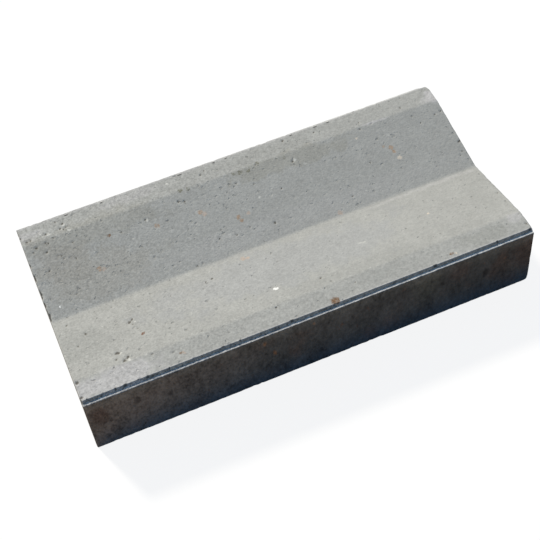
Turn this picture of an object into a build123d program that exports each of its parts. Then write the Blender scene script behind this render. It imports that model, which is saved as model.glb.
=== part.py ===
"""Precast concrete drainage channel: a low block with a shallow V trough pressed into its top.

One solid, cast and pressed in one piece. Frame: X runs along the channel, the way the water flows, Y runs
across it and Z points up. The origin is at the centre of the bed face. Millimetres.
"""

import os

from build123d import *

# Driving dimensions
length = 600.0
width = 300.0
height = 100.0  # from the bed to the flat shoulders
trough_depth = 25.0  # from the shoulders down to the line of the V, before it is rounded
shoulder_width = 30.0  # flat rim between the lip and the slope, on each side
ledge_width = 3.5  # narrow step that the press head leaves along the mould's long walls
lip_run = 2.5  # how far the steep lip leans in as it rises from the ledge to the shoulder
lip_rise = 4.0  # how far the ledge lies below the shoulder
valley_radius = 12.0  # rounding of the line where the two slopes meet
shoulder_radius = 22.0  # rounding of each break between shoulder and slope

# Places in the section, as distances from its centre line or heights above the bed
half_width = width / 2
ledge_height = height - lip_rise
lip_foot = half_width - ledge_width
lip_top = lip_foot - lip_run
slope_top = lip_top - shoulder_width
valley_height = height - trough_depth


def section_outline():
    """Corners of the section, counter-clockwise, as (across, up) pairs: one side, the valley, the other side."""
    right = [
        (half_width, 0),
        (half_width, ledge_height),
        (lip_foot, ledge_height),
        (lip_top, height),
        (slope_top, height),
    ]
    left = [(-across, up) for across, up in reversed(right)]
    return [*right, (0, valley_height), *left]


# The whole unit: its section, drawn across the channel and carried along it
with BuildPart() as channel_block:
    with BuildSketch(Plane.YZ) as section:
        with BuildLine():
            Polyline(*section_outline(), close=True)
        make_face()
        valley = section.vertices().sort_by_distance((0, valley_height))[0]
        fillet(valley, radius=valley_radius)
        shoulder_breaks = section.vertices().group_by(Axis.Y)[-1].sort_by(Axis.X)[1:-1]
        fillet(shoulder_breaks, radius=shoulder_radius)
    extrude(amount=length / 2, both=True)

channel_block.part.label = "channel_block"
os.makedirs("parts", exist_ok=True)
export_step(channel_block.part, "parts/channel_block.step")
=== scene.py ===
# %% [markdown]
# # A concrete drainage channel
#
# The object is one block of pressed concrete, 600 mm long, with a shallow V trough along its top. The
# solid model already gives the true sizes. This lesson dresses it: a fine mesh with worn edges, pits and a
# pressed skin takes the plain solid's place, and a procedural material gives it its colours.
#
# The first cell loads the solid and keeps its box, so that every later size is worked out from it.

# %% Load the solid and keep its box
import itertools
import math
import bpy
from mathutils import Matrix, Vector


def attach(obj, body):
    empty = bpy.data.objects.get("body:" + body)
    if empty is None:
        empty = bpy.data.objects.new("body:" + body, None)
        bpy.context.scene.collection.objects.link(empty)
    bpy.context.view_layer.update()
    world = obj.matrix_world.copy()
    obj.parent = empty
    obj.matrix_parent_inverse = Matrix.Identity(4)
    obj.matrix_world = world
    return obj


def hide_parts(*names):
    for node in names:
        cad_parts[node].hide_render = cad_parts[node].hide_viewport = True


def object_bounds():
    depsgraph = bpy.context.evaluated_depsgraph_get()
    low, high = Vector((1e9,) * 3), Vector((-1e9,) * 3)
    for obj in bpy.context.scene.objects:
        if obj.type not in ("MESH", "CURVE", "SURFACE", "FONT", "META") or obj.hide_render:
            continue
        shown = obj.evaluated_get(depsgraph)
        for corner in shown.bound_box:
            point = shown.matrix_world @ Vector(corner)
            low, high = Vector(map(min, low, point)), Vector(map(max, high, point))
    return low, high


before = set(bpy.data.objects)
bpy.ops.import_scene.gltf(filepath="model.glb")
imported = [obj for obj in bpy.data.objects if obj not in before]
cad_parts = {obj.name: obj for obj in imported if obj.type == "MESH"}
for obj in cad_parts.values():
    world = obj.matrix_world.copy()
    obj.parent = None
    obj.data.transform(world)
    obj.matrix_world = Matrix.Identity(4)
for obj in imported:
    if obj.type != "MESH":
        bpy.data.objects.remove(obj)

from types import SimpleNamespace

import bpy
import numpy as np
from mathutils import Matrix, Vector

cad_box = [list(corner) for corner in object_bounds()]
low, high = (np.array(corner) for corner in cad_box)
length, width, height = high - low
print(f"block {length:.3f} x {width:.3f} x {height:.3f} m")

# %% [markdown]
# ## The camera
#
# The camera stands where the reference picture was taken from. Its place, its turn and its lens were found
# by fitting the block's long edges and corners to the picture, so they are plain numbers here: no shift and
# no depth of field. Building the three axes of the camera by hand is clearer than guessing Euler angles,
# because each axis has a meaning.

# %% Camera
camera_place = Vector((-0.3030, -0.9501, 1.2864))
camera_azimuth = math.radians(-17.382)  # turn about the vertical, 0 looks along +Y
camera_elevation = math.radians(51.870)  # height above the horizon
camera_roll = math.radians(6.750)  # tilt of the camera's right-hand side downwards
camera_lens = 80.416  # mm
camera_sensor = 36  # mm


def camera_axes(azimuth, elevation, roll):
    """Right, up and back axes: back points from the scene to the camera, and right is level.

    Then right and up both roll about back.
    """
    back = Vector((
        math.sin(azimuth) * math.cos(elevation),
        -math.cos(azimuth) * math.cos(elevation),
        math.sin(elevation),
    ))
    right = Vector((0, 0, 1)).cross(back).normalized()
    up = back.cross(right)
    return (
        math.cos(roll) * right - math.sin(roll) * up,
        math.sin(roll) * right + math.cos(roll) * up,
        back,
    )


def placed(name, data):
    """A new object in the scene, made of a camera, a mesh or a light."""
    made = bpy.data.objects.new(name, data)
    bpy.context.scene.collection.objects.link(made)
    return made


camera_data = bpy.data.cameras.new("camera")
camera_data.lens = camera_lens
camera_data.sensor_width = camera_sensor
camera = placed("camera", camera_data)
axes = Matrix(camera_axes(camera_azimuth, camera_elevation, camera_roll)).transposed()
camera.matrix_world = Matrix.Translation(camera_place) @ axes.to_4x4()
bpy.context.scene.camera = camera
bpy.context.scene.view_settings.view_transform = "Standard"
print("camera at", tuple(round(x, 3) for x in camera_place))

# %% [markdown]
# ## The section of the channel
#
# Seen from its end, the block's upper face is a ledge, a steep lip, a flat shoulder and a slope down to the
# valley, and then the same again on the other side. A curve object could draw that outline, but a height
# worked out for any distance from the centre line is handier: the same function later shapes the top,
# closes the ends and finds the place of every stone.

# %% Height of the upper face
mm = 0.001
ledge_width = 3.5 * mm
lip_run = 2.5 * mm
lip_rise = 4.0 * mm
shoulder_width = 30.0 * mm
trough_depth = 25.0 * mm
valley_radius = 12.0 * mm
shoulder_radius = 22.0 * mm

half_length = length / 2
half_width = width / 2
ledge_height = height - lip_rise
lip_foot = half_width - ledge_width
lip_top = lip_foot - lip_run
slope_top = lip_top - shoulder_width
slope_angle = math.atan2(trough_depth, slope_top)
valley_end = valley_radius * math.sin(slope_angle)
break_run = shoulder_radius * math.tan(slope_angle / 2)


def section_height(across):
    """Height of the upper face: straight lines from the valley to the ledge, with two roundings.

    The valley is the low arc of a circle that touches both slopes. Each shoulder break is the high arc of a
    circle that touches the shoulder and the slope.
    """
    y = np.abs(across)
    valley_height = height - trough_depth
    lines = np.interp(
        y,
        [0, slope_top, lip_top, lip_foot, half_width],
        [valley_height, height, height, ledge_height, ledge_height],
    )
    valley_centre = valley_height + valley_radius / math.cos(slope_angle)
    valley = valley_centre - np.sqrt(np.maximum(valley_radius**2 - y**2, 0))
    from_centre = y - (slope_top + break_run)
    shoulder = height - shoulder_radius + np.sqrt(np.maximum(shoulder_radius**2 - from_centre**2, 0))
    near_break = (from_centre < 0) & (y > slope_top - break_run * math.cos(slope_angle))
    return np.where(y < valley_end, valley, np.where(near_break, shoulder, lines))


valley_level, ledge_level = section_height(np.array([0, half_width])) / mm
print(f"valley {valley_level:.1f} mm up, ledge {ledge_level:.1f} mm up")

# %% [markdown]
# ## Smooth noise in space
#
# Broken edges, pits and uneven skin are all random, but two faces that share an edge must agree about it.
# So the random numbers live in space and not on a face. Blender's own texture nodes could displace the mesh
# too, but then numpy could not use the same field to paint it.

# %% Noise
lattice_side = 64


def smooth_step(value, start, end):
    """0 before start, 1 after end and 3t^2 - 2t^3 in between."""
    t = np.clip((value - start) / (end - start), 0, 1)
    return t * t * (3 - 2 * t)


def lattice_noise(points, wavelength, seed):
    """Smooth field from 0 to 1: random numbers on a cubic lattice, blended over each cube by 3t^2 - 2t^3."""
    numbers = np.random.default_rng(seed).random((lattice_side,) * 3)
    scaled = points / wavelength
    corner = np.floor(scaled).astype(int)
    share = smooth_step(scaled - corner, 0, 1)
    total = np.zeros(len(points))
    for offset in itertools.product((0, 1), repeat=3):
        weight = np.where(np.array(offset) == 1, share, 1 - share).prod(axis=1)
        i, j, k = ((corner + offset) % lattice_side).T
        total += weight * numbers[i, j, k]
    return total


sample_points = np.linspace(low, high, 500)
sample_wave = 10 * mm
diagonal_noise = lattice_noise(sample_points, sample_wave, 0)
print(f"noise along the block's diagonal: {diagonal_noise.min():.2f} to {diagonal_noise.max():.2f}")

# %% [markdown]
# ## Rows of points
#
# A cube that is cut, bevelled and subdivided would give the shape, but not rows of points where an edge
# needs them. Here each face is a grid of its own two parameters: along and across for the top, along and up
# for the sides, across and up for the ends. This cell sets the rows, which crowd together near the edges.

# %% Rows along, across and up
grid_step = 1.66 * mm
level_step = 6.0 * mm
arris_rows = np.array([0.7, 1.6, 3.0]) * mm  # rows beside each edge
row_slack = 1e-6  # share of a step that adds no row


def stations(knots, step):
    """Places from the first knot to the last: each gap is divided evenly, no wider than the step."""
    gaps = [
        np.linspace(a, b, max(1, math.ceil((b - a) / step - row_slack)), endpoint=False)
        for a, b in zip(knots, knots[1:])
    ]
    return np.append(np.concatenate(gaps), knots[-1])


def mirrored(half):
    """The same places on the other side of zero, then zero, then the places themselves."""
    return np.concatenate([-half[:0:-1], half])


along = mirrored(stations([0, *(half_length - arris_rows[::-1]), half_length], grid_step))
across = mirrored(stations(
    [
        0, valley_end / 2, valley_end, slope_top - break_run, slope_top, slope_top + break_run,
        *(lip_top - arris_rows[::-1]), lip_top, (lip_top + lip_foot) / 2, lip_foot,
        *(half_width - arris_rows[1::-1]), half_width,
    ],
    grid_step,
))
levels = stations([0, *arris_rows, *(ledge_height - arris_rows[::-1]), ledge_height], level_step)
print(len(along), "rows along,", len(across), "across,", len(levels), "up")

# %% [markdown]
# ## The top as a grid
#
# A grid of points becomes quads by pairing each row with the next. The same helper serves every face, so it
# also keeps what later steps need: the outward direction of each point, and whether the face stood against
# the steel mould. The pressed top is the only face that did not.

# %% The top
faces = []  # each has points, outward directions, quads and its share of mould skin


def add_face(points, outward, mould, turned=False, closed=False):
    """Keeps one grid of points. Quads run over its two parameters, turned over where the face looks back."""
    rows, columns = points.shape[:2]
    index = np.arange(rows * columns).reshape(rows, columns)
    following = np.roll(index, -1, axis=0)
    corners = [index[:, :-1], following[:, :-1], following[:, 1:], index[:, 1:]]
    quads = np.stack(corners, axis=-1)[: rows if closed else rows - 1].reshape(-1, 4)
    faces.append({
        "points": points.reshape(-1, 3),
        "outward": np.broadcast_to(outward, points.shape).reshape(-1, 3),
        "quads": quads[:, ::-1] if turned else quads,
        "mould": mould,
    })


def points_of(x, y, z):
    """Three coordinate grids as one grid of points."""
    return np.stack(np.broadcast_arrays(x, y, z), axis=-1)


def add_top():
    """Along and across: the height is the section's, and outward is square to its slope."""
    x, y = np.meshgrid(along, across, indexing="ij")
    tops = section_height(across)
    slope = np.gradient(tops, across)
    outward = points_of(0, -slope, 1) / np.hypot(slope, 1)[:, None]
    add_face(points_of(x, y, tops), outward[None], 0.0)


add_top()
print("top:", len(faces[0]["quads"]), "quads")

# %% [markdown]
# ## Sides, ends and bed
#
# The other faces are plain, so each is a short formula. Where two grids meet they hold the same points, and
# welding equal points will close the block. The bed is a narrow frame around one flat polygon, because
# nobody sees its middle and a grid there would spend points for nothing.

# %% The other faces
def add_side(sign):
    """Along and up: an upright plane at half the width."""
    x, z = np.meshgrid(along, levels, indexing="ij")
    add_face(points_of(x, sign * half_width, z), (0, sign, 0), 1.0, turned=sign > 0)


def add_end(sign):
    """Across and up: each column of points is stretched from the bed to the section's height."""
    y, share = np.meshgrid(across, levels / ledge_height, indexing="ij")
    points = points_of(sign * half_length, y, share * section_height(y))
    add_face(points, (sign, 0, 0), 1.0, turned=sign < 0)


def add_bed_frame():
    """Round the bed and inwards: the bed's outline, shrunk a little at each row."""
    near = points_of(along[:-1], -half_width, 0)
    right = points_of(half_length, across[:-1], 0)
    outline = np.concatenate([near, right, -near, -right])
    inset = np.array([0, *arris_rows])
    shrink = np.stack([1 - inset / half_length, 1 - inset / half_width, np.ones(len(inset))], axis=-1)
    add_face(outline[:, None] * shrink, (0, 0, -1), 1.0, turned=True, closed=True)


for sign in (-1, 1):
    add_side(sign)
    add_end(sign)
add_bed_frame()
print(len(faces), "faces with", sum(len(face["quads"]) for face in faces), "quads")

# %% [markdown]
# ## Weld the grids
#
# Merge by Distance would weld the faces too, but numpy can say which points became one. That list is what
# lets a later step move a shared point for both of its faces.

# %% Weld
weld_step = 0.001 * mm
rest = np.concatenate([face["points"] for face in faces])
_, first_of, weld = np.unique(np.round(rest / weld_step), axis=0, return_index=True, return_inverse=True)
weld = weld.reshape(-1)
welded = rest[first_of]
print(len(rest), "grid points weld to", len(welded))

# %% [markdown]
# ## How far each edge is worn
#
# Pressed concrete leaves the mould with edges that crumble a little, most of all at the end where sand was
# thin. A Bevel modifier has one width for a whole edge. Here each point has a radius of its own: a small one
# everywhere, more where two noises agree, and most at the corners and along the stretch that was knocked.

# %% Radius of wear
edge_radius = 1.2 * mm
chip_radius = 5.0 * mm
knocked_corners = [  # place on the block and radius of the knock
    ((half_length, half_width, height), 10 * mm),
    ((half_length, -half_width, 0), 5 * mm),
    ((-half_length, -half_width, height), 5 * mm),
    ((half_length, -lip_top, height), 4 * mm),
    ((-half_length, -lip_top, height), 5 * mm),
]
broken_edge = [(66, 7), (42, 9), (26, 5), (11, 12), (84, 4)]  # mm on the left end: place and half length
broken_radius = 4.8 * mm
broken_reach = 14 * mm  # from the left end
broken_from = 45 * mm  # from the bed up
knock_spread = 1.5  # a knock ends this many of its radii from the corner
crumb_wave = 5 * mm  # wavelengths of the noises that wear the edges
stretch_wave = 31 * mm
ragged_wave = 3 * mm


def wear_radius(points):
    """Radius of the worn edge: a small one, larger in patches of noise and at the knocked places."""
    x, y, z = points.T
    small = smooth_step(lattice_noise(points, crumb_wave, 3), 0.45, 0.95)
    wide = smooth_step(lattice_noise(points, stretch_wave, 4), 0.30, 0.80)
    radius = edge_radius + 0.35 * chip_radius * small * (0.35 + 0.65 * wide)
    for place, knock in knocked_corners:
        away = np.linalg.norm(points - np.array(place), axis=1)
        radius = np.maximum(radius, knock * (1 - away / (knock_spread * knock)))
    ragged = 0.55 + 0.9 * lattice_noise(points, ragged_wave, 5)
    upper_left = (x < -half_length + broken_reach) & (z > broken_from)
    for place, half in broken_edge:
        bite = smooth_step(-np.abs(y / mm - place), -half, -0.5 * half) * upper_left
        radius = np.maximum(radius, broken_radius * bite * ragged)
    return radius


radius = wear_radius(welded)
print(f"worn to radii of {radius.min() / mm:.1f} to {radius.max() / mm:.1f} mm")

# %% [markdown]
# ## Round the edges
#
# If the points beside an edge only sank into their own faces, a large radius would fold one face over the
# other. So each point also slides aside, away from the edge, and the corner becomes a true rounding.
# Nothing ever moves outwards, so the dressed block stays inside the solid.

# %% Roundings
tiny = 1e-9  # m, in place of nothing where a length divides


def face_distances(points):
    """Distances to the ends, to the sides and to the nearer of top and bed."""
    x, y, z = points.T
    up_or_down = np.minimum(section_height(y) - z, z)
    return np.stack([half_length - np.abs(x), half_width - np.abs(y), up_or_down], axis=-1)


def rounding(points, radius):
    """Moves that turn the block's edges into roundings, so that no point passes its neighbour.

    Two faces meet in an edge. The smaller of a point's distances to them is its depth, and the rounding it
    goes to is smaller by that depth. The difference of the two distances tells how far along the face the
    point lies, and it keeps that share on an eighth of a circle.
    """
    distances = face_distances(points)
    moves = np.zeros_like(points)
    for a, b in ((0, 1), (0, 2), (1, 2)):
        depth = np.minimum(distances[:, a], distances[:, b])
        apart = np.abs(distances[:, a] - distances[:, b])
        left = np.maximum(radius - depth, tiny)
        angle = math.pi / 4 * np.clip(1 - apart / left, 0, 1)
        inwards = left * (1 - np.cos(angle))
        aside = np.maximum(left * (1 - np.sin(angle)) - apart, 0)
        on_a = distances[:, a] <= distances[:, b]
        moves[:, a] = np.maximum(moves[:, a], np.where(on_a, inwards, aside))
        moves[:, b] = np.maximum(moves[:, b], np.where(on_a, aside, inwards))
    x, y, z = points.T
    return moves * np.stack([-np.sign(x), -np.sign(y), np.where(z > height / 2, -1, 1)], axis=-1)


rounded = rounding(welded, radius)
print(f"the edges move by up to {np.abs(rounded).max() / mm:.1f} mm")

# %% [markdown]
# ## Pits
#
# Air and crumbs leave pits in a dry mix, the deeper ones to the left, where it was packed less. Scattering
# little spheres and cutting them out with a Boolean would be slow. A field in space is enough: a pit in
# some of the cubes of space, and more at the places where the picture shows them.

# %% Pits
pit_places = {  # radius in mm, then places along and across in mm
    3.6: [(-210, -49), (-239, -94), (-234, -111), (-296, -117)],
    2.7: [
        (-265, -41), (-139, 91), (-292, 120), (-284, 106), (-206, -46), (-229, -107), (-297, -139),
        (-298, 129), (-246, 123), (28, -97), (75, 99), (16, 23), (287, 94), (297, 43), (76, 138),
        (-270, 109), (-273, 96),
    ],
    1.9: [
        (-207, -55), (-243, -104), (-201, -117), (-283, -14), (-279, 0), (-89, 100), (-82, 98), (-174, 86),
        (-278, 70), (-255, 79), (-238, 97), (-259, 112), (49, -110), (63, -124), (-40, -118), (127, 21),
        (27, 114), (-9, 96), (13, 87), (45, 67), (-47, 129), (-41, 133), (122, 132), (-16, 31), (289, 22),
        (171, 58), (262, 88), (-53, 41), (-36, 27), (-59, 29), (-101, 4), (-93, 4), (-102, -29), (-92, -28),
        (-242, 120), (-238, 122), (-266, 122), (-287, 121), (-289, 100), (-256, 83), (-261, 85), (-249, 136),
        (-241, 74), (-241, 130), (-267, 107), (184, 122), (198, 113), (180, 110), (256, 139), (247, 122),
        (296, 95), (295, 27), (295, -66), (296, -116), (296, -134),
    ],
}
placed_from = 60 * mm  # the placed pits run straight down, and end at this height
large_pits = {"spacing": 24 * mm, "largest": 3.0 * mm, "share": 0.18, "seed": 11}
small_pits = {"spacing": 11 * mm, "largest": 2.4 * mm, "share": 0.40, "seed": 12}
shallow_from = 100 * mm  # along, where the scattered pits are shallowest
deep_from = -250 * mm  # along, where they are deepest
wobble_wave = 3.0 * mm
wobble_reach = 3.0 * mm


def pit_field(points, spacing, largest, share, seed):
    """1 at the middle of a pit, 0 at its rim and outside: a cube of space holds one pit at most.

    Only a share of the cubes has a pit. Its place is random, and so is its radius, up to the largest. A point
    takes the deepest pit of the 27 cubes around it.
    """
    random = np.random.default_rng(seed)
    places = random.random((lattice_side,) * 3 + (3,))
    radii = largest * np.sqrt(random.random((lattice_side,) * 3))
    radii[random.random((lattice_side,) * 3) > share] = tiny
    cube = np.floor(points / spacing).astype(int)
    deepest = np.zeros(len(points))
    for offset in itertools.product((-1, 0, 1), repeat=3):
        near = cube + offset
        i, j, k = (near % lattice_side).T
        away = np.linalg.norm(points - (near + places[i, j, k]) * spacing, axis=1)
        deepest = np.maximum(deepest, 1 - away / radii[i, j, k])
    return deepest


def pits(points):
    """Scattered pits of two sizes, shallower to the right and at the back, and the placed ones: 0 to 1.

    Bending space first keeps them from being round.
    """
    wobble = np.stack([lattice_noise(points, wobble_wave, seed) for seed in (13, 14, 15)], axis=-1) - 0.5
    wobbly = points + wobble_reach * wobble
    large = pit_field(wobbly, **large_pits)
    small = pit_field(wobbly, **small_pits)
    strength = 0.15 + 0.75 * smooth_step(-points[:, 0], -shallow_from, -deep_from)
    strength *= 1 - 0.3 * (points[:, 1] > 0)
    deepest = np.maximum(large, 0.9 * small) * strength
    for pit_radius, places in pit_places.items():
        for x, y in places:
            away = np.hypot(wobbly[:, 0] - x * mm, wobbly[:, 1] - y * mm)
            deepest = np.maximum(deepest, (1 - away / (pit_radius * mm)) * (points[:, 2] > placed_from))
    return deepest


pit = pits(welded)
print(f"{100 * np.mean(pit > 0):.1f}% of the points lie in a pit")

# %% [markdown]
# ## Nicks along the lips
#
# Where the shoulder turns down into the lip, single grains have broken out. They show as dark nicks against
# the pale edge, because their walls lie in shade. A nick is too small for a shape of its own, so it is a
# small move of that edge and a number that later paints its shade into the colour.

# %% Nicks
near_nicks = [  # along the near lip: place and half length, mm
    (-292, 1.6), (-272, 1.5), (-257, 1.6), (-245, 3.4), (-228, 1.4), (-217, 3.6), (-189, 1.2), (-120, 3.2),
    (-98, 1.6), (-53, 1.4), (-31, 3.4), (25, 1.6), (163, 3.0), (250, 1.5), (296, 2.4),
]
far_nicks = [  # along the far lip
    (-232, 2.0), (-183, 1.6), (-72, 2.6), (-23, 1.6), (-5, 1.4), (91, 1.6), (127, 2.2), (146, 1.6),
]
nick_reach = 4 * mm  # a nick's depth ends this far from the edge
wedge_reach = 3.4 * mm  # a far nick's painted shade ends this far onto the shoulder
edge_margin = 1 * mm
foot_margin = 0.1 * mm
nick_stretch = (1, 0.2, 0.2)  # draws the noise out across the edge
tight_wave = 3.0 * mm
broad_wave = 8.0 * mm
splinter_wave = 2.4 * mm


def lip_nicks(points):
    """Small bites into the edge where the shoulder turns into the lip: how deep they are, and how dark.

    Noise and the places read from the picture give the bites. Their depth fades away from that edge. The
    painted shade covers the near lip below them, and on the far side a wedge that narrows away from the edge.
    """
    x, y, z = points.T
    away = np.abs(y) - lip_top
    far = y > 0
    stretched = points * nick_stretch
    tight = smooth_step(lattice_noise(stretched, tight_wave, 31), 0.68, 0.95)
    broad = smooth_step(lattice_noise(stretched, broad_wave, 32), 0.66, 0.95)
    ragged = smooth_step(lattice_noise(points, splinter_wave, 33), 0.1, 0.6)
    bites = 0.7 * tight + 0.3 * broad
    for side, places in ((-1, near_nicks), (1, far_nicks)):
        for place, half in places:
            bite = np.clip(np.where(far, 1.9, 1.4) - np.abs(x / mm - place) / half, 0, 1)
            bites = np.maximum(bites, bite * np.maximum(ragged, far) * (side * y > 0))
    beside = np.clip(1 - np.abs(away) / nick_reach, 0, 1) * (z > ledge_height + edge_margin)
    depth = beside * (0.15 + np.where(far, 1.0, 0.4) * bites) * mm
    on_lip = (away > -edge_margin) & (away < lip_run - foot_margin)
    wedge = np.clip(bites - np.where(away < 0, 0.07, 0.45) * np.abs(away) / mm, 0, 1)
    # the dark is painted shade in the nicks
    dark = np.where(far, wedge * (away > -wedge_reach), on_lip * bites)
    return depth, dark * (z > ledge_height)


nicks, painted_nick_shade = lip_nicks(welded)
print(f"nicks up to {nicks.max() / mm:.2f} mm deep")

# %% [markdown]
# ## Sink the points
#
# All the moves come together here. Every point of the top, the sides and the ends sinks along its outward
# direction by the uneven skin and its pit, and a shared point sinks for each of its faces. What was worn off
# an edge is also kept as a number, so that the material can paint shade into the chip there.

# %% Move the points
pit_depth = 1.2 * mm
pit_fade = 3 * mm  # pits grow shallow this near to an edge
chip_shade_depths = (0.35 * mm, 1.1 * mm)  # worn depth where a chip's painted shade starts, and where it is full
swell_wave = 120 * mm
swell_depth = 0.35 * mm
grit_wave = 4.5 * mm
grit_depth = 0.16 * mm


def skin_depth(points):
    """Slow waves and a fine roughness of the pressed skin, always inwards."""
    swell = lattice_noise(points, swell_wave, 21)
    grit = lattice_noise(points, grit_wave, 22)
    return swell_depth * swell + grit_depth * grit


def arris_depth(rim, radius):
    """How much is worn off beside an edge: most at the edge, then a parabola that ends at the radius."""
    at_edge = (1 - math.sqrt(0.5)) * radius
    return at_edge * np.clip(1 - rim / radius, 0, 1) ** 2


rim = np.sort(face_distances(welded), axis=1)[:, 1]  # the nearest is its own face, the next gives the edge
# painted shade in the chips and the nicks
painted_chip_shade = np.maximum(painted_nick_shade, smooth_step(arris_depth(rim, radius), *chip_shade_depths))
skin = skin_depth(welded) + pit_depth * smooth_step(pit, 0, 0.7) * smooth_step(rim, 0, pit_fade)
moved = welded + rounded
moved[:, 1] -= np.sign(welded[:, 1]) * nicks
mould = np.zeros(len(welded))
counts = np.bincount(weld, minlength=len(welded))
start = 0
quads = []
for face in faces:
    ids = weld[start:start + len(face["points"])]
    start += len(ids)
    sunk = skin[ids] * (face["outward"][:, 2] >= -0.5)  # the bed stays flat
    np.add.at(moved, ids, -sunk[:, None] * face["outward"])
    np.add.at(mould, ids, face["mould"] / counts[ids])
    quads.append(ids[face["quads"]])
quads = np.concatenate(quads)
bed_ring = ids.reshape(-1, 1 + len(arris_rows))[::-1, -1]  # the bed frame's innermost row
print(len(moved), "points,", 2 * len(quads) + len(bed_ring) - 2, "triangles")

# %% [markdown]
# ## Put the mesh together
#
# A mesh is lists of points, of corners and of faces. foreach_set fills each list from a whole array at once.
# Three numbers for each point go along as attributes, for the material to read. The piece then takes the
# place of the plain solid: it rides on its body and replaces its node. Its material is added at the end of
# the concrete cell.

# %% The mesh
sharp_angle = math.radians(50)
block_mesh = bpy.data.meshes.new("concrete_channel")
corner_ids = np.concatenate([quads.reshape(-1), bed_ring])
sizes = np.append(np.full(len(quads), 4), len(bed_ring))
block_mesh.vertices.add(len(moved))
block_mesh.vertices.foreach_set("co", moved.astype(np.float32).reshape(-1))
block_mesh.loops.add(len(corner_ids))
block_mesh.loops.foreach_set("vertex_index", corner_ids.astype(np.int32))
block_mesh.polygons.add(len(sizes))
block_mesh.polygons.foreach_set("loop_start", (np.cumsum(sizes) - sizes).astype(np.int32))
for name, values in {"pit": pit, "mould": mould, "painted_chip_shade": painted_chip_shade}.items():
    attribute = block_mesh.attributes.new(name, "FLOAT", "POINT")
    attribute.data.foreach_set("value", values.astype(np.float32))
block_mesh.update(calc_edges=True)
block_mesh.validate()
block_mesh.set_sharp_from_angle(angle=sharp_angle)
channel = placed("concrete_channel", block_mesh)
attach(channel, "root")
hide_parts("channel_block")
print("mesh", len(block_mesh.polygons), "faces")

# %% [markdown]
# ## Shader maths as expressions
#
# A node tree for concrete has dozens of Math nodes, and their links are hard to read as code. This small
# class wraps one output of a node. Adding, subtracting or multiplying two of them writes the Math node, so
# that a mask can be written as 1 - wet * 0.5. Every other node comes from the one method `node`.

# %% A wrapped socket
class Shade:
    """One output socket in a node tree, with arithmetic."""

    def __init__(self, tree, socket=None):
        self.tree = tree
        self.socket = socket

    def node(self, kind, output=0, settings=None, sockets=None):
        """Adds a node: its settings first, then the values or links of its sockets, by name or by number."""
        made = self.tree.nodes.new(kind)
        for name, value in (settings or {}).items():
            setattr(made, name, value)
        for key, value in (sockets or {}).items():
            if isinstance(value, Shade):
                self.tree.links.new(value.socket, made.inputs[key])
            else:
                made.inputs[key].default_value = value
        return Shade(self.tree, made.outputs[output]) if len(made.outputs) else made

    def sibling(self, output):
        """Another output of the same node."""
        return Shade(self.tree, self.socket.node.outputs[output])

    def math(self, operation, a, b):
        """One Math node on two values."""
        return self.node("ShaderNodeMath", settings={"operation": operation}, sockets={0: a, 1: b})

    def vector(self, operation, *inputs, output="Vector"):
        """One Vector Math node on up to three vectors."""
        settings = {"operation": operation}
        return self.node("ShaderNodeVectorMath", output, settings, dict(enumerate(inputs)))

    def __add__(self, other):
        return self.math("ADD", self, other)

    __radd__ = __add__

    def __mul__(self, other):
        return self.math("MULTIPLY", self, other)

    __rmul__ = __mul__

    def __sub__(self, other):
        return self.math("SUBTRACT", self, other)

    def __rsub__(self, other):
        return self.math("SUBTRACT", other, self)

    def __lt__(self, other):
        return self.math("LESS_THAN", self, other)

    def __gt__(self, other):
        return self.math("GREATER_THAN", self, other)

    def step(self, start, end):
        """0 before start and 1 after end, smooth in between. A falling step has its start above its end."""
        settings = {"interpolation_type": "SMOOTHSTEP"}
        limits = {"Value": self, "From Min": start, "From Max": end}
        return self.node("ShaderNodeMapRange", settings=settings, sockets=limits)

    def mix(self, share, first, second, blend="MIX"):
        """A colour made of two others: the share is that of the second."""
        settings = {"data_type": "RGBA", "blend_type": blend}
        return self.node("ShaderNodeMix", 2, settings, {0: share, 6: first, 7: second})

    def towards(self, colour, share, blend="MIX"):
        """This colour moved towards another by a share."""
        return self.mix(share, self, colour, blend)


print("a Shade can be added, subtracted, multiplied and compared")

# %% [markdown]
# ## Textures and outlines in space
#
# Concrete looks the same whichever way it is cut, so its textures are read at places in space and not on an
# unwrapped skin. Two textures do nearly everything: a noise for slow and fine changes, and cells for grains.
# Spots with a place of their own are ellipsoids, and bending space before they are drawn makes them ragged.

# %% Texture helpers
def make_material(name):
    """An empty material, and a Shade to write its tree with."""
    material = bpy.data.materials.new(name)
    material.use_nodes = True
    material.node_tree.nodes.clear()
    return material, Shade(material.node_tree)


def noise(where, wavelength, detail=2.0, seed=0.0):
    """Blender's noise, 0 to 1, with its longest waves as given in metres."""
    settings = {"noise_dimensions": "4D"}
    sockets = {"Vector": where, "W": seed, "Scale": 1 / wavelength, "Detail": detail}
    return where.node("ShaderNodeTexNoise", settings=settings, sockets=sockets)


def grains(where, spacing, seed=0.0):
    """One grain in each cell of space: the distance to it, in cells. Its sibling Color is random."""
    settings = {"voronoi_dimensions": "4D"}
    sockets = {"Vector": where, "W": seed, "Scale": 1 / spacing}
    return where.node("ShaderNodeTexVoronoi", settings=settings, sockets=sockets)


def parts(colour):
    """The three random numbers in a grain's colour."""
    red = colour.node("ShaderNodeSeparateColor", sockets={0: colour})
    return red, red.sibling(1), red.sibling(2)


def bent(place, wavelength, reach, seed):
    """The same places, moved about by a noise, so that outlines drawn from them are uneven."""
    shift = noise(place, wavelength, 2, seed).sibling("Color")
    centred = place.vector("SUBTRACT", shift, (0.5,) * 3)
    return place.vector("MULTIPLY_ADD", centred, (reach,) * 3, place)


def away_from(place, centre, reach):
    """Distance from a centre, measured in the three reaches: 1 on the ellipsoid that they span."""
    offset = place.vector("SUBTRACT", place, tuple(centre))
    scaled = place.vector("DIVIDE", offset, tuple(reach))
    return place.vector("LENGTH", scaled, output="Value")


def on_top(x, y):
    """A place on the upper face, in metres, from along and across in mm."""
    return np.array([x * mm, y * mm, section_height(y * mm)])


print("the valley's middle lies at", on_top(0, 0))
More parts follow.
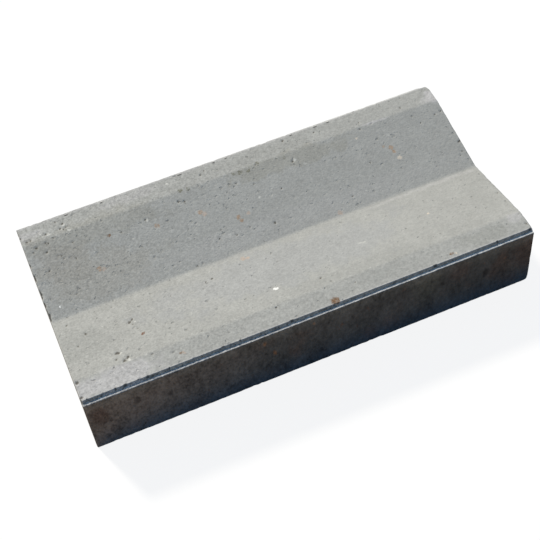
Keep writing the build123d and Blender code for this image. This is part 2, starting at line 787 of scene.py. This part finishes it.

# %% [markdown]
# ## Smears of cement milk, dirt and painted light
#
# Dry pressed concrete is a matt grey of cement and sand, but never an even one. Cement milk dried pale on the
# corners, and dust and dirt lie in broad patches. A pale band along the valley is a painted highlight, and a
# cooler patch on the front slope is painted cool light. One painted image could hold this, but only from one
# side, so each smear is an ellipse at a place, with a rim that two noises crumble.

# %% Smears
cement = (0.410, 0.413, 0.397, 1)
pale_skin = (0.535, 0.527, 0.528, 1)
warm_dust = (0.388, 0.384, 0.352, 1)
sandy_dust = (0.413, 0.407, 0.379, 1)
dark_dust = (0.38, 0.37, 0.34, 1)
brown_dust = (0.30, 0.29, 0.265, 1)
olive_smear = (0.24, 0.23, 0.19, 1)
painted_cool_light_skin = (0.410, 0.418, 0.420, 1)
worn_skin = (0.385, 0.389, 0.373, 1)
shaded_skin = (0.37, 0.375, 0.36, 1)
grey_shoulder = (0.36, 0.364, 0.35, 1)
grey_far_shoulder = (0.36, 0.362, 0.345, 1)
dull_shoulder = (0.34, 0.345, 0.33, 1)
damp_shoulder = (0.32, 0.325, 0.30, 1)
quartz = (0.60, 0.60, 0.57, 1)

patches = [  # along and across in mm, half length and half breadth in mm, colour, share
    (-256, -131, 70, 19, pale_skin, 0.8),
    (-284, 128, 20, 9, pale_skin, 0.5),
    (-150, 134, 50, 9, pale_skin, 0.4),
    (297, 120, 9, 14, pale_skin, 1.0),
    (285, 119, 9, 6, pale_skin, 0.5),
    (206, 113, 26, 2.2, pale_skin, 0.8),
    (287, -120, 14, 11, pale_skin, 0.6),
    # painted highlight along the valley's front edge
    (220, -5, 90, 3.5, pale_skin, 0.3),
    (4, 110, 15, 4.5, olive_smear, 0.35),
    (-274, 109, 24, 7, brown_dust, 0.2),
    (-215, 106, 110, 24, warm_dust, 0.6),
    (-225, 40, 95, 42, sandy_dust, 0.8),
    (40, 20, 250, 20, pale_skin, 0.12),
    (120, -104, 170, 12, grey_shoulder, 0.35),
    (50, 127, 60, 9, grey_far_shoulder, 0.4),
    (60, 102, 110, 17, warm_dust, 0.8),
    # painted cool light on the front slope
    (-10, -50, 190, 58, painted_cool_light_skin, 0.6),
    (275, -62, 36, 60, worn_skin, 0.5),
    (101, -63, 7, 1.6, quartz, 0.5),
    (-262, 70, 50, 34, dark_dust, 0.6),
    (-275, -60, 36, 50, shaded_skin, 0.6),
    (240, -130, 34, 12, damp_shoulder, 0.3),
    (97, -126, 40, 13, dull_shoulder, 0.15),
]
spot_height = 14 * mm  # half height of a smear or a crumbly spot
smear_bend = (14 * mm, 12 * mm)  # wavelength and reach


def from_spot(place, x, y, half_long, half_broad):
    """Distance from the middle of a spot on the upper face: 1 at its rim."""
    return away_from(place, on_top(x, y), (half_long * mm, half_broad * mm, spot_height))


def with_patches(skin, place, patchy, sand):
    """Smears of cement milk, dirt and painted light: ellipses with rims two noises make uneven and crumbly.
    """
    smeared = bent(place, *smear_bend, 8)
    for *spot, colour, share in patches:
        ragged_rim = from_spot(smeared, *spot) + 2.0 * (patchy - 0.5) + 0.8 * (sand - 0.5)
        skin = skin.towards(colour, ragged_rim.step(1.1, 0.6) * share)
    return skin


print(len(patches), "smears")

# %% [markdown]
# ## Stones that reached the skin
#
# Now and then a tan, brown or white stone lies at the surface, half hidden by a veil of cement. Small meshes
# stuck on would stand proud of the face, but these are flush, so they are paint: balls in space that the
# face cuts through, with outlines bent by noise.

# %% Stones
tan_stone = (0.43, 0.325, 0.245, 1)
pink_stone = (0.50, 0.42, 0.36, 1)
brown_stone = (0.23, 0.145, 0.092, 1)
cream_stone = (0.68, 0.61, 0.52, 1)
white_stone = (0.88, 0.88, 0.86, 1)
olive_dirt = (0.235, 0.23, 0.185, 1)
rust = (0.21, 0.125, 0.092, 1)

stones = {  # colour, then along and across in mm, radius in mm, share of it under a veil of cement
    tan_stone: [
        (-218, 48, 3.4, 0.5), (-128, 77, 4.0, 0.6), (-69, 74, 3.6, 0.4), (-25, 49, 3.0, 0.4),
        (-23, 43, 3.0, 0.5), (207, 68, 3.4, 0.2), (198, 74, 2.2, 0.5), (208, 62, 3.0, 0.6),
    ],
    brown_stone: [(-191, 88, 2.8, 0.4), (190, -137, 2.8, 0.5), (29, -140, 6.0, 0.3), (-170, -130, 2.2, 0.4)],
    pink_stone: [
        (-213, 45, 3.2, 0.4), (-64, 70, 3.4, 0.3), (-10, 50, 3.0, 0.6), (102, 5, 3.8, 0.6),
        (-44, -12, 3.8, 0.4), (-38, -14, 3.0, 0.4), (-166, -131, 2.2, 0.4),
    ],
    cream_stone: [(211, 50, 3.4, 0.2), (195, -138, 2.4, 0.4), (170, 99, 1.8, 0.0), (199, -56, 1.9, 0.0)],
    quartz: [
        (-137, 90, 2.4, 0.5), (78, 100, 2.6, 0.4), (89, 90, 2.2, 0.4), (13, 66, 1.8, 0.3),
        (-93, 133, 2.4, 0.3), (-246, 122, 2.0, 0.2), (-240, 126, 2.0, 0.2), (-263, 120, 2.0, 0.2),
        (-272, 124, 2.0, 0.2), (-236, 115, 2.2, 0.3), (-204, -52, 1.8, 0.2), (-235, -96, 2.2, 0.2),
        (-229, -113, 2.4, 0.3), (-256, -62, 1.3, 0.2), (-204, -29, 1.3, 0.2),
    ],
    olive_dirt: [
        (-81, 115, 3.0, 0.8), (-70, 113, 3.2, 0.8), (-6, 112, 3.4, 0.7), (3, 110, 3.6, 0.7),
        (14, 108, 3.2, 0.7), (30, 115, 2.8, 0.7), (67, 109, 2.6, 0.7),
    ],
    white_stone: [(-29, -87, 2.5, 0.0), (-26, -87, 2.3, 0.0), (-282, 17, 1.7, 0.0)],
    rust: [(-201, -78, 2.6, 0.3)],
}
stone_bend = (3.4 * mm, 7 * mm)
veil_wave = 3.2 * mm


def with_stones(skin, place):
    """Stones that reached the skin: balls in space with bent outlines, veiled in places by cement."""
    edges = bent(place, *stone_bend, 9)
    veil = noise(place, veil_wave, 3, 10).step(0.46, 0.56)
    for colour, places in stones.items():
        for x, y, stone_radius, veiled in places:
            ball = away_from(edges, on_top(x, y), (stone_radius * mm,) * 3)
            skin = skin.towards(colour, ball.step(1.15, 0.7) * (1 - veiled * veil))
    return skin


print(sum(len(places) for places in stones.values()), "stones and crumbs")

# %% [markdown]
# ## Pores and pale grains
#
# Between the larger pits the skin is full of pores a millimetre or two wide, with a pale grain here and
# there. There are thousands, far too many for points of the mesh, so they are cells in the shader: one in
# each cell of space, of a random size and kind. Each pore gets a bump and a painted shade.

# %% Pores
crumbly_spots = [  # along and across in mm, half length and half breadth in mm
    (-272, 110, 34, 15), (-250, 60, 60, 45), (-232, -102, 26, 22), (-285, -110, 14, 26), (-52, 30, 30, 16),
    (60, 92, 40, 18), (0, 146, 310, 12), (0, -146, 310, 6), (297, 50, 8, 110),
]
pore_spacing = 5.6 * mm
pore_bend = (2.8 * mm, 6.0 * mm)
hollow_kinds = 0.78  # kinds below this are hollows
pale_kinds = 0.86  # kinds above this are pale grains


def crumbly(place, patchy):
    """Where the sand was thin: 1 inside a crumbly spot, more where two overlap, with an uneven rim."""
    total = 0
    for spot in crumbly_spots:
        total = total + (from_spot(place, *spot) + 1.6 * (patchy - 0.5)).step(1.1, 0.4)
    return total


def pores(place, crowd, seed):
    """Hollows and pale grains: one in each cell. Gives how hollow, how dark and how pale a place is."""
    hole = grains(bent(place, *pore_bend, seed), pore_spacing, seed)
    size, kind, strength = parts(hole.sibling("Color"))
    reach = (0.10 + 0.26 * size) * crowd
    inside = (reach - hole).step(-0.10, 0.11)
    hollow = inside * (kind < hollow_kinds)
    # dark is painted shade in the hollows
    dark = hollow * 0.4 * strength * strength
    pale = inside * (kind > pale_kinds) * (0.15 + 0.4 * strength)
    return hollow * (0.3 + 0.7 * strength), dark, pale


print("a pore in every", round(pore_spacing / mm, 1), "mm")

# %% [markdown]
# ## The stained near side
#
# The near side is painted darker than the other mould faces, as painted shade. It is darker still and rusty
# to the right, and lighter and warmer to the left as painted bounce light, with a painted blue shade along
# its foot and a paler strip along its top. Its stains run upwards, so heights are squeezed before a texture
# is read there, which draws every spot out. A painted image would do the same, but only at one scale.

# %% Near side
mould_skin = (0.275, 0.270, 0.255, 1)
# painted shade: the near side is painted darker than the other mould faces
painted_shade_skin = (0.152, 0.145, 0.141, 1)
# painted warm bounce light, lighter towards the left end
painted_bounce_skin = (0.255, 0.218, 0.202, 1)
# painted blue shade along the foot of the near side
painted_foot_shade = (0.075, 0.113, 0.175, 1)
bright_rust = (0.36, 0.19, 0.11, 1)
brown_earth = (0.15, 0.095, 0.078, 1)
soot = (0.05, 0.042, 0.040, 1)
black = (0, 0, 0, 1)

side_marks = {  # colour, then along and up in mm, radius in mm, share
    brown_earth: [(-285, 66, 13, 0.6), (196, 79, 16, 0.4), (294, 64, 26, 0.5)],
    olive_dirt: [(150, 79, 24, 0.3)],
    bright_rust: [(-70, 81, 3.0, 0.9), (-59, 55, 3.0, 0.9), (-5, 85, 2.2, 0.7)],
    soot: [
        (-236, 69, 5.0, 0.6), (-283, 18, 4.5, 0.5), (-273, 50, 3.0, 0.5), (-196, 56, 3.5, 0.5),
        (-126, 31, 3.5, 0.6), (-89, 87, 3.0, 0.4), (33, 35, 4.0, 0.4), (153, 30, 3.0, 0.5),
        (171, 63, 3.0, 0.5), (234, 52, 5.5, 0.7),
    ],
}
drawn_share = 0.6  # on the near side heights are squeezed by this before a texture is read
bounce_along = (-20 * mm, -270 * mm)  # each pair: where a change starts and where it is full
dark_along = (50 * mm, 250 * mm)
dark_up = (10 * mm, 50 * mm)
foot_up = (45 * mm, 0)
strip_up = (74 * mm, 95 * mm)
rust_wave = 34 * mm
fleck_wave = 9 * mm
mark_bend = (6 * mm, 8 * mm)
crumble_wave = 3 * mm


def near_shade_and_stains(place, x, z):
    """Near side: painted shade and bounce light, darker right, rust, marks, painted foot shade, top strip."""
    skin = place.mix(x.step(*bounce_along), painted_shade_skin, painted_bounce_skin)
    skin = skin.towards(black, x.step(*dark_along) * z.step(*dark_up) * 0.14)
    skin = skin.towards(rust, noise(place, rust_wave, 3, 5).step(0.50, 0.72) * 0.4)
    skin = skin.towards(rust, noise(place, fleck_wave, 2, 12).step(0.66, 0.76) * 0.6)
    smeared = bent(place, *mark_bend, 7)
    crumble = noise(place, crumble_wave, 3, 14)
    for colour, marks in side_marks.items():
        for along_mm, up_mm, mark_radius, share in marks:
            centre = (along_mm * mm, -half_width, up_mm * mm * drawn_share)
            away = away_from(smeared, centre, (mark_radius * mm,) * 3)
            skin = skin.towards(colour, (away + 1.2 * (crumble - 0.5)).step(1.25, 0.4) * share)
    # painted blue shade at the foot
    skin = skin.towards(painted_foot_shade, z.step(*foot_up) * 0.42)
    return skin.towards(mould_skin, z.step(*strip_up) * 0.45)


print(sum(len(marks) for marks in side_marks.values()), "marks on the near side")

# %% [markdown]
# ## What the material reads
#
# Several finishes need the same places, masks and textures. A mask is 1 on its own part of the block and 0
# elsewhere. Painted masks would need an unwrapped skin, but the block is plain enough for limits on its
# three coordinates. All of them are read once and kept under plain names, so each finish stays short.

# %% Places, masks and textures
near_skin = 1.5 * mm  # how far in the near side's painted shade and stains reach
lip_from = lip_top + 0.3 * mm  # distances from the centre line
shoulder_band = (slope_top - 6 * mm, slope_top)
porous_along = (250 * mm, -300 * mm)  # dense at the first place, porous at the second
cloud_wave = 110 * mm
patch_wave = 24 * mm
lump_wave = 5.5 * mm
sand_wave = 2.6 * mm
grain_spacing = 2.2 * mm


def beyond(y, limit):
    """1 farther from the centre line than the limit: squares compare both halves of the block at once."""
    return y * y > limit**2


def across_step(y, start, end):
    """A smooth step in the square of the distance from the centre line."""
    return (y * y).step(start**2, end**2)


def read_block(graph):
    """Places, attributes, masks and textures, each under its name."""
    place = graph.node("ShaderNodeTexCoord", "Object")
    x = graph.node("ShaderNodeSeparateXYZ", sockets={0: place})
    y, z = x.sibling(1), x.sibling(2)
    near = y < near_skin - half_width
    squeeze = graph.node("ShaderNodeCombineXYZ", sockets={0: 1, 1: 1, 2: 1 - (1 - drawn_share) * near})
    drawn = graph.vector("MULTIPLY", place, squeeze)
    pit, mould, painted_chip_shade = (
        graph.node("ShaderNodeAttribute", "Fac", {"attribute_name": name})
        for name in ("pit", "mould", "painted_chip_shade")
    )
    outer = beyond(y, lip_from)
    grain = grains(drawn, grain_spacing, 4)
    return SimpleNamespace(
        place=place, drawn=drawn, x=x, y=y, z=z, near=near, outer=outer,
        pit=pit, mould=mould, painted_chip_shade=painted_chip_shade,
        near_lip=outer * (1 - mould) * (y < 0),
        shoulder=across_step(y, *shoulder_band) * (1 - mould),
        porous=x.step(*porous_along),
        cloudy=noise(drawn, cloud_wave, 2, 1),
        patchy=noise(drawn, patch_wave, 3, 2),
        sand=noise(drawn, sand_wave, 4, 3),
        lumps=noise(drawn, lump_wave, 2, 11),
        grain=grain,
        grain_tone=parts(grain.sibling("Color"))[0],
    )


print(f"the shoulders lie {slope_top / mm:.0f} to {lip_top / mm:.0f} mm from the centre line")

# %% [markdown]
# ## The skins of the faces
#
# The pressed top is pale, and beside each lip a band is painted paler: a painted highlight. The near lip is
# sandy, the ledges are smooth and pale and are painted lighter to the right, as painted light on their sunlit
# strip, and the faces that stood against the steel mould are denser and darker. Each could have a material of
# its own, but then every border would be a hard line of the mesh. A mask makes it as soft as it has to be.

# %% Skins
lip_skin = (0.415, 0.388, 0.342, 1)
ledge_skin = (0.48, 0.48, 0.48, 1)
# painted light: the ledge's sunlit strip, painted lighter to the right
painted_lit_ledge = (0.62, 0.62, 0.61, 1)
ledge_from = lip_foot - 0.2 * mm  # distance from the centre line
ledge_above = ledge_height - 0.7 * mm
lit_ledge_along = (0, 200 * mm)
# a painted highlight band on the shoulder beside the lip
painted_highlight_band = (lip_top - 3 * mm, lip_top - 1 * mm)


def laid_skin(graph, block):
    """The colour before stones, grains and holes: the top, lips and ledges, smears, then the mould faces."""
    side = graph.mix(block.near, mould_skin, near_shade_and_stains(block.drawn, block.x, block.z))
    ledge = beyond(block.y, ledge_from) * (block.z > ledge_above)
    lit_ledge = graph.mix(block.x.step(*lit_ledge_along), ledge_skin, painted_lit_ledge)
    # painted highlight along each shoulder's edge
    edge = across_step(block.y, *painted_highlight_band) * (1 - block.outer)
    skin = graph.mix(block.outer * (block.y < 0), cement, lip_skin).towards(lit_ledge, ledge)
    skin = with_patches(skin, block.place, block.patchy, block.sand)
    return skin.towards(pale_skin, 0.45 * edge).towards(side, block.mould)


print(f"the ledges start {ledge_from / mm:.1f} mm from the centre line")

# %% [markdown]
# ## The grey of the grains
#
# Close up, concrete is grains of slightly different greys. One noise would look like cloth, so clouds,
# patches, lumps, sand and single grains are added, each with its own weight. The weights grow where the
# real skin is coarser: on the near side and its lip, on the shoulders, and towards the porous end.

# %% Grains
def grain_grey(block):
    """A number about 1 that the colour is multiplied by: weighted noises, each measured from its middle."""
    near, mould, near_lip, shoulder = block.near, block.mould, block.near_lip, block.shoulder
    coarse = 1 + (0.1 + 0.8 * near) * mould + 2.2 * near_lip + 0.3 * shoulder - 0.2 * (block.y < 0)
    coarse = (0.55 + 0.57 * block.porous) * coarse
    patch_weight = 0.22 + (0.15 + 0.85 * near) * mould
    lump_weight = 0.24 + 0.8 * near * mould + 0.16 * shoulder + 0.9 * near_lip
    grey = 1 + 0.12 * (block.cloudy - 0.5) + patch_weight * (block.patchy - 0.5)
    grey = grey + lump_weight * (block.lumps - 0.5)
    return grey + coarse * (0.7 * (block.sand - 0.5) + 0.14 * (block.grain_tone - 0.5))


print("five textures make the grey of the grains")

# %% [markdown]
# ## The concrete
#
# The material lays these finishes over each other: the skins, the stones, the grey of the grains, and then
# painted shade in everything that is hollow. Pits and broken edges come from the mesh, pores from the shader.
# The same sand that colours the skin also makes its bump, so light and colour agree.

# %% Concrete
# painted shade in the pores and the pits
painted_pore_shade = (0.11, 0.11, 0.105, 1)
painted_pit_shade = (0.075, 0.063, 0.050, 1)
# painted shade in chips and nicks
gap = (0.05, 0.05, 0.05, 1)
bump_depth = 1 * mm
bump_strength = 0.72
dull = 0.95  # roughness of dry concrete
no_shine = 0.0


def pore_crowd(block):
    """How large the pores are: larger to the left and at the back, in crumbly spots and in patches."""
    crowd = 0.66 + 0.30 * block.porous + (block.y > 0) * (0.28 - 0.12 * block.porous)
    return crowd + 0.3 * crumbly(block.place, block.patchy) + 1.5 * (block.patchy - 0.5)


def with_holes(skin, block, dark, pale):
    """Painted shade in pores, pits and broken edges, and pale grains. Sand makes pit and edge rims uneven."""
    uneven = 0.9 * (block.sand - 0.5)
    skin = skin.towards(painted_pore_shade, dark).towards(quartz, pale * (1 - 0.75 * block.mould))
    skin = skin.towards(painted_pit_shade, (block.pit + uneven).step(0.15, 0.6) * 0.75)
    return skin.towards(gap, (block.painted_chip_shade + uneven).step(0.3, 0.9) * 0.75)


def concrete():
    """The block's material: colours laid over each other by masks, and a bump of sand, lumps and pores."""
    material, graph = make_material("pressed_concrete")
    block = read_block(graph)
    skin = with_stones(laid_skin(graph, block), block.place)
    skin = skin.towards(grain_grey(block), 1.0, "MULTIPLY")
    hollow, dark, pale = pores(block.drawn, pore_crowd(block), 6)
    skin = with_holes(skin, block, dark, pale)
    relief = 0.42 * block.sand + 0.16 * block.grain + 0.4 * block.lumps
    relief = relief - (1.1 - 0.4 * (block.y > 0)) * hollow
    bump_sockets = {"Height": relief, "Distance": bump_depth, "Strength": bump_strength}
    bumps = graph.node("ShaderNodeBump", sockets=bump_sockets)
    shader = graph.node(
        "ShaderNodeBsdfPrincipled",
        sockets={"Base Color": skin, "Roughness": dull, "Specular IOR Level": no_shine, "Normal": bumps},
    )
    graph.node("ShaderNodeOutputMaterial", sockets={0: shader})
    return material


block_mesh.materials.append(concrete())
print("concrete has", len(block_mesh.materials[0].node_tree.nodes), "nodes")

# %% [markdown]
# ## The floor
#
# The block lies on a pale floor. A bright white floor would light the shaded side from below, so the floor is
# white only to the camera, to mirrors and to glass, with a light shadow. To light that spreads it is a dull
# brown, as bare ground is.

# %% Floor
floor_half = 6.0
floor_drop = 0.5 * mm
white = (1, 1, 1, 1)
floor_glow = 1.03
shadow_share = 0.14  # of the floor that is lit, and so keeps the shadow
ground_colour = (0.50, 0.375, 0.20, 1)

floor_mesh = bpy.data.meshes.new("floor")
floor_mesh.from_pydata(
    [(sx * floor_half, sy * floor_half, -floor_drop) for sx, sy in ((-1, -1), (1, -1), (1, 1), (-1, 1))],
    [],
    [(0, 1, 2, 3)],
)
floor = placed("floor", floor_mesh)


def seen_directly(graph):
    """1 for rays from the camera, a mirror or glass, 0 for light that spreads."""
    path = graph.node("ShaderNodeLightPath", "Is Camera Ray")
    return path + path.sibling("Is Glossy Ray") + path.sibling("Is Transmission Ray")


def pale_floor():
    """White with a light shadow where it is seen, dull ground where it only gives light back."""
    material, graph = make_material("pale_floor")
    glowing = graph.node("ShaderNodeEmission", sockets={"Color": white, "Strength": floor_glow})
    shadowed = graph.node("ShaderNodeBsdfDiffuse", sockets={"Color": white})
    ground = graph.node("ShaderNodeBsdfDiffuse", sockets={"Color": ground_colour})
    pale = graph.node("ShaderNodeMixShader", sockets={0: shadow_share, 1: glowing, 2: shadowed})
    both = graph.node("ShaderNodeMixShader", sockets={0: seen_directly(graph), 1: ground, 2: pale})
    graph.node("ShaderNodeOutputMaterial", sockets={0: both})
    material.cycles.emission_sampling = "NONE"
    return material


floor_mesh.materials.append(pale_floor())
print("floor", 2 * floor_half, "m wide")

# %% [markdown]
# ## Sky and sun
#
# One soft sun from behind and a weak blue sky light the block, as on a bright day in a yard. An image of a
# real sky would do as well, but two plain lights are easier to set. The sky is blue only to light that
# spreads, and white where it is seen.

# %% Light
sky_colour = (0.345, 0.613, 1.0, 1)
sky_strength = 0.31
sun_colour = (1.0, 0.916, 0.768)
sun_strength = 3.99
sun_elevation = math.radians(43.4)
sun_turn = math.radians(-20)  # from straight behind, negative is to the left
sun_softness = math.radians(8)

world = bpy.data.worlds.new("sky")
bpy.context.scene.world = world
world.use_nodes = True
world.node_tree.nodes.clear()
graph = Shade(world.node_tree)
fill = graph.node("ShaderNodeBackground", sockets={"Color": sky_colour, "Strength": sky_strength})
backdrop = graph.node("ShaderNodeBackground", sockets={"Color": white, "Strength": 1.0})
sky = graph.node("ShaderNodeMixShader", sockets={0: seen_directly(graph), 1: fill, 2: backdrop})
graph.node("ShaderNodeOutputWorld", sockets={0: sky})

sun_data = bpy.data.lights.new("sun", "SUN")
sun_data.energy = sun_strength
sun_data.angle = sun_softness
sun_data.color = sun_colour
sun = placed("sun", sun_data)
to_sun = Vector((
    math.sin(sun_turn) * math.cos(sun_elevation),
    math.cos(sun_turn) * math.cos(sun_elevation),
    math.sin(sun_elevation),
))
sun.rotation_mode = "QUATERNION"
sun.rotation_quaternion = to_sun.to_track_quat("Z", "Y")
print("sun", round(math.degrees(sun_elevation)), "degrees up")
